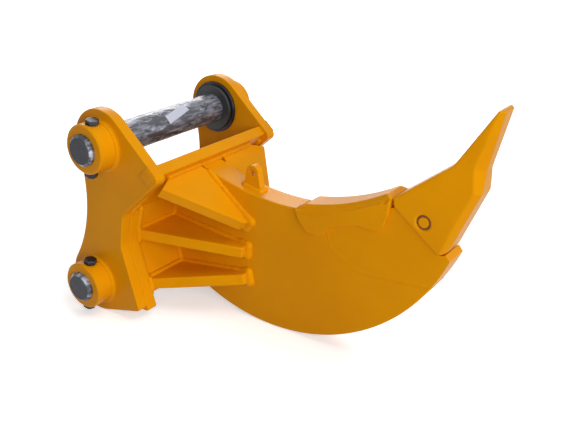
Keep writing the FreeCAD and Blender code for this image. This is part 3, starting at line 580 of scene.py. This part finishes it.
def tenon_rim(outwards):
    """The corners of the headboard's tenon just under one ear's outer face."""
    mesh = merged("headboard_upper")
    place = (0.0, outwards * (EAR_OUT - SUNK), 0.0)
    cut = bmesh.ops.bisect_plane(mesh, geom=mesh.verts[:] + mesh.edges[:] + mesh.faces[:],
                                 plane_co=place, plane_no=(0.0, outwards, 0.0))
    rim = [v.co.copy() for v in cut["geom_cut"] if isinstance(v, bmesh.types.BMVert)]
    mesh.free()
    return rim


def plug_weld(pads, outwards, size):
    """A low pad of weld ground over a tenon, where it comes through its ear."""
    height_share, rounding_share = 0.4, 0.35
    rim = tenon_rim(outwards)
    centre = sum(rim, Vector()) / len(rim)
    lift = Vector((0.0, outwards * (SUNK + size * height_share), 0.0))
    spread = [centre + (p - centre) * (1.0 + size / (p - centre).length) for p in rim]
    verts = [pads.verts.new(p) for p in spread] + [pads.verts.new(p + lift) for p in spread]
    hull = bmesh.ops.convex_hull(pads, input=verts)
    edges = [e for e in hull["geom"] if isinstance(e, bmesh.types.BMEdge)
             and all(outwards * v.co.y > EAR_OUT for v in e.verts)]
    rounded = [e for e in edges if e.calc_face_angle(0.0) > EDGE_TURN]
    bmesh.ops.bevel(pads, geom=rounded, offset=size * rounding_share, offset_type="OFFSET",
                    segments=ROUND_SEGMENTS, profile=0.5, affect="EDGES", clamp_overlap=True,
                    material=-1)


def fillet_ring(mesh, centre, face, outwards, radius, leg):
    """Spins a hollow fillet round a boss, where it meets its ear's outer face."""
    steps, overlap = 6, 0.004
    sunk = face - outwards * SUNK
    corner = [Vector((centre[0], sunk, centre[2] + radius - overlap)),
              Vector((centre[0], sunk, centre[2] + radius + leg))]
    curve = []
    for i in range(steps + 1):
        turn = math.pi / 2 * i / steps
        out = leg * (1.0 - math.sin(turn))
        along = leg * (1.0 - math.cos(turn))
        curve.append(Vector((centre[0], face + outwards * along, centre[2] + radius + out)))
    verts = [mesh.verts.new(p) for p in corner + curve]
    edges = [mesh.edges.new((a, b)) for a, b in zip(verts, verts[1:] + verts[:1])]
    bmesh.ops.spin(mesh, geom=verts + edges, cent=centre, axis=(0.0, 1.0, 0.0),
                   dvec=(0.0, 0.0, 0.0), angle=math.tau, steps=72, use_merge=True,
                   use_duplicate=False)


# Operators.

class PaintPlates(bpy.types.Operator):
    """Round and paint the welded plates of the hitch, the gussets and the shank"""
    bl_idname = "ripper.paint_plates"
    bl_label = "Painted plates"

    def execute(self, context):
        sizes = context.scene.ripper_sizes
        paint = enamel("plate_enamel")
        nodes = ["headboard_upper", "headboard_lower", "shank", "lifting_lug"]
        for side in SIDES:
            rounded_node(f"ear_plate_{side}", sizes.ear_edge, paint, tenon_rim(1))
            nodes.append(f"cheek_{side}")
            nodes += [f"boss_{level}_{side}" for level in HITCH_LEVELS]
            nodes += [f"gusset_{level}_{side}" for level in LEVELS]
        for node in nodes:
            rounded_node(node, sizes.plate_edge, paint)
        return {"FINISHED"}


class PaintCastings(bpy.types.Operator):
    """Soften the tooth and protector, round the nose piece and tooth pin, and paint them"""
    bl_idname = "ripper.paint_castings"
    bl_label = "Painted castings"

    def execute(self, context):
        sizes = context.scene.ripper_sizes
        skin = enamel("casting_enamel", skin_scale=120.0, skin_depth=0.0003)
        cast_node("tooth", sizes.cast_grain, skin)
        cast_node("protector", sizes.cast_grain * PROTECTOR_GRAIN, skin)
        rounded_node("nose_piece", sizes.plate_edge, skin)
        rounded_node("tooth_pin", sizes.small_edge, skin)
        return {"FINISHED"}


class LayWelds(bpy.types.Operator):
    """Lay the weld beads between the plates and the fillets round the bosses"""
    bl_idname = "ripper.lay_welds"
    bl_label = "Welds"

    def execute(self, context):
        sizes = context.scene.ripper_sizes
        paint = enamel("weld_enamel", skin_scale=160.0, skin_depth=0.0004)
        rows = []
        for first, second in PLATE_WELDS:
            mesh, other = merged(first), merged(second)
            tip_swell = 0.6 if first.startswith("gusset") and second == "shank" else 0.0
            rows += [(loop, sizes.bead, tip_swell) for loop in rims(touching_faces(mesh, other))]
            mesh.free()
            other.free()
        soften(beads("plate_weld_beads", rows, paint), sizes.weld_grain, WELD_ROUNDS)
        pads = bmesh.new()
        for outwards in (-1, 1):
            plug_weld(pads, outwards, sizes.plug)
        bmesh.ops.recalc_face_normals(pads, faces=pads.faces)
        publish("tenon_plug_welds", pads, paint, MAIN_BODY)
        mesh, other = merged("shank"), merged("nose_piece")
        seams = rims(touching_faces(mesh, other))
        beads("shank_seam_bead", [(loop, sizes.seam_bead, 0.0) for loop in seams], paint)
        rings = bmesh.new()
        for level in HITCH_LEVELS:
            centre = middle(f"hitch_pin_{level}")
            for outwards in (-1, 1):
                fillet_ring(rings, centre, outwards * EAR_OUT, outwards, BOSS_RADIUS,
                            sizes.boss_fillet)
        bmesh.ops.remove_doubles(rings, verts=rings.verts, dist=SAME_POINT)
        bmesh.ops.recalc_face_normals(rings, faces=rings.faces)
        publish("boss_fillets", rings, paint, MAIN_BODY)
        return {"FINISHED"}


class FitHitchPins(bpy.types.Operator):
    """Finish the hitch pins, their wrapping film and the blank label"""
    bl_idname = "ripper.fit_hitch_pins"
    bl_label = "Hitch pins"

    def execute(self, context):
        sizes = context.scene.ripper_sizes
        wrap = wrapped_steel()
        for level in HITCH_LEVELS:
            centre = middle(f"hitch_pin_{level}")
            steel = turned_steel(f"turned_steel_{level}", centre)
            rounded_node(f"hitch_pin_{level}", sizes.small_edge, steel)
            self.wrap_pin(f"pin_film_{level}", centre, sizes.film, wrap)
        self.stick_label(middle("hitch_pin_upper"), sizes.film)
        return {"FINISHED"}

    def wrap_pin(self, name, centre, stand_off, material):
        """A crinkled sleeve of film, from seal to seal."""
        end_gap, clear = 0.0005, 0.0003
        half = SEAL_FACE - end_gap
        mesh = bmesh.new()
        bmesh.ops.create_grid(mesh, x_segments=150, y_segments=120, size=0.5)
        for vert in mesh.verts:
            along = vert.co.x * 2.0 * half
            turn = vert.co.y * math.tau
            around = Vector((math.cos(turn), 0.0, math.sin(turn)))
            spot = around * 2.2 + Vector((0.0, along * 22.0, centre.x * 7.0))
            crease = noise.turbulence(spot, 3, False)
            radius = PIN_RADIUS + clear + stand_off * min(1.0, crease * 1.4)
            vert.co = centre + around * radius + Vector((0.0, along, 0.0))
        bmesh.ops.remove_doubles(mesh, verts=mesh.verts, dist=SAME_POINT)
        bmesh.ops.recalc_face_normals(mesh, faces=mesh.faces)
        publish(name, mesh, material, MAIN_BODY)

    def stick_label(self, centre, stand_off):
        """A blank paper strip, laid askew on the film."""
        half_length, half_width, skew = 0.044, 0.0125, math.radians(14.0)
        middle_turn, middle_along = math.radians(43.0), 0.012
        clear, crinkle = 0.0009, 0.0004
        radius = PIN_RADIUS + stand_off + clear
        mesh = bmesh.new()
        bmesh.ops.create_grid(mesh, x_segments=24, y_segments=10, size=0.5)
        for vert in mesh.verts:
            along, across = vert.co.x * 2.0 * half_length, vert.co.y * 2.0 * half_width
            run = along * math.cos(skew) - across * math.sin(skew)
            rise = along * math.sin(skew) + across * math.cos(skew)
            turn = middle_turn + rise / radius
            lift = radius + crinkle * noise.noise(vert.co * 6.0)
            around = Vector((math.cos(turn), 0.0, math.sin(turn)))
            vert.co = centre + around * lift + Vector((0.0, middle_along + run, 0.0))
        bmesh.ops.recalc_face_normals(mesh, faces=mesh.faces)
        piece = publish("blank_label", mesh, label_paper(), MAIN_BODY)
        card = piece.modifiers.new("card", "SOLIDIFY")
        card.thickness = 0.0005


class FitRings(bpy.types.Operator):
    """Finish the washers, seals, lock bolts and nuts, and the tooth pin's retainer"""
    bl_idname = "ripper.fit_rings"
    bl_label = "Rings, bolts and nuts"

    def execute(self, context):
        sizes = context.scene.ripper_sizes
        steel, rubber = blackened_steel(), black_rubber()
        for level in HITCH_LEVELS:
            for side in SIDES:
                rounded_node(f"washer_{level}_{side}", sizes.small_edge, steel)
                rounded_node(f"seal_{level}_{side}", sizes.small_edge, rubber)
        # The retainer's dark colour is painted shade for the recess it sits in.
        rounded_node("tooth_pin_retainer", sizes.small_edge / 2, recess_shade_rubber())
        for level in HITCH_LEVELS:
            for part in ("bolt", "nut"):
                rounded_node(f"lock_{part}_{level}", sizes.small_edge, steel)
        return {"FINISHED"}


class SetStage(bpy.types.Operator):
    """Lay the floor, hang the lights and set up the camera"""
    bl_idname = "ripper.set_stage"
    bl_label = "Stage"

    def execute(self, context):
        self.lay_floor(context.scene.ripper_colours.floor)
        self.light(context.scene)
        self.aim_camera(context.scene)
        context.scene.view_settings.view_transform = "Standard"
        return {"FINISHED"}

    def lay_floor(self, colour):
        mesh = bmesh.new()
        bmesh.ops.create_grid(mesh, x_segments=1, y_segments=1, size=30.0)
        bmesh.ops.translate(mesh, verts=mesh.verts, vec=(0.0, 0.0, GROUND - 0.0005))
        finish = Finish("studio_floor")
        seen = finish.seen()
        tone = finish.blend(finish.noise(2.0, 2.0), scaled(tuple(colour), 0.99), tuple(colour))
        material = finish.finish(
            Base_Color=finish.blend(seen, scaled(tuple(colour), 0.5), tone), Roughness=0.9,
            Emission_Color=finish.blend(seen, (0.0, 0.0, 0.0), (0.46, 0.46, 0.46)),
            Emission_Strength=1.0)
        data = bpy.data.meshes.new("floor")
        mesh.to_mesh(data)
        mesh.free()
        data.materials.append(material)
        floor = bpy.data.objects.new("floor", data)
        bpy.context.scene.collection.objects.link(floor)

    def light(self, scene):
        """A dim world that looks white, two soft suns, a glow from behind and a small fill."""
        world = Finish("studio", "worlds")
        dim = world.add("Background", {"Color": (1.0, 0.98, 0.96, 1.0), "Strength": 0.13})
        white = world.add("Background", {"Color": (1.0, 1.0, 1.0, 1.0), "Strength": 1.0})
        sky = world.add("MixShader", {0: world.seen(), 1: dim, 2: white})
        world.add("OutputWorld", {"Surface": sky})
        scene.world = world.data
        self.hang("key_light", "SUN", (2.45, 0.25, 3.4), 1.23).angle = math.radians(40.0)
        self.hang("low_light", "SUN", (4.0, -1.4, 1.0), 1.0).angle = math.radians(30.0)
        glow = self.hang("back_light", "AREA", (-2.2, 3.6, 1.9), 100.0)
        glow.shape, glow.size, glow.size_y = "RECTANGLE", 4.0, 1.6
        self.hang("fill_light", "AREA", (1.2, -1.05, 0.2), 6.0).size = 0.8

    def hang(self, name, kind, place, power):
        """A lamp that looks at the ripper's middle."""
        data = bpy.data.lights.new(name, kind)
        data.energy = power
        lamp = bpy.data.objects.new(name, data)
        bpy.context.scene.collection.objects.link(lamp)
        target = (Vector(CAD_BOX[0]) + Vector(CAD_BOX[1])) / 2
        away = Vector(place) - target
        turned = away.to_track_quat("Z", "Y").to_matrix().to_4x4()
        lamp.matrix_world = Matrix.Translation(place) @ turned
        return data

    def aim_camera(self, scene):
        data = bpy.data.cameras.new("photo_camera")
        data.sensor_width = SENSOR_WIDTH
        data.lens = FOCAL_PIXELS / PICTURE_WIDTH * SENSOR_WIDTH
        data.clip_end = 100.0
        camera = bpy.data.objects.new("photo_camera", data)
        scene.collection.objects.link(camera)
        turn, climb = math.radians(CAMERA_AZIMUTH), math.radians(CAMERA_ELEVATION)
        right = Vector((math.cos(turn), math.sin(turn), 0.0))
        back = Vector((math.sin(turn) * math.cos(climb), -math.cos(turn) * math.cos(climb),
                       math.sin(climb)))
        axes = Matrix((right, back.cross(right), back)).transposed()
        camera.matrix_world = Matrix.Translation(CAMERA_PLACE) @ axes.to_4x4()
        scene.camera = camera


class RipperPanel(bpy.types.Panel):
    """Sizes, colours and steps of the ripper's finish"""
    bl_idname = "VIEW3D_PT_ripper"
    bl_label = "Excavator ripper"
    bl_space_type = "VIEW_3D"
    bl_region_type = "UI"
    bl_category = "Ripper"

    def draw(self, context):
        for group in (context.scene.ripper_sizes, context.scene.ripper_colours):
            box = self.layout.box()
            for name in group.__annotations__:
                box.prop(group, name)
        for step in STEPS:
            self.layout.operator(step.bl_idname)


STEPS = (PaintPlates, PaintCastings, LayWelds, FitHitchPins, FitRings, SetStage)
CLASSES = (RipperSizes, RipperColours) + STEPS + (RipperPanel,)


def register():
    for item in CLASSES:
        bpy.utils.register_class(item)
    bpy.types.Scene.ripper_sizes = PointerProperty(type=RipperSizes)
    bpy.types.Scene.ripper_colours = PointerProperty(type=RipperColours)


def unregister():
    del bpy.types.Scene.ripper_sizes
    del bpy.types.Scene.ripper_colours
    for item in reversed(CLASSES):
        bpy.utils.unregister_class(item)


def main():
    register()
    bpy.ops.ripper.paint_plates()
    bpy.ops.ripper.paint_castings()
    bpy.ops.ripper.lay_welds()
    bpy.ops.ripper.fit_hitch_pins()
    bpy.ops.ripper.fit_rings()
    bpy.ops.ripper.set_stage()


if __name__ == "__main__":
    main()
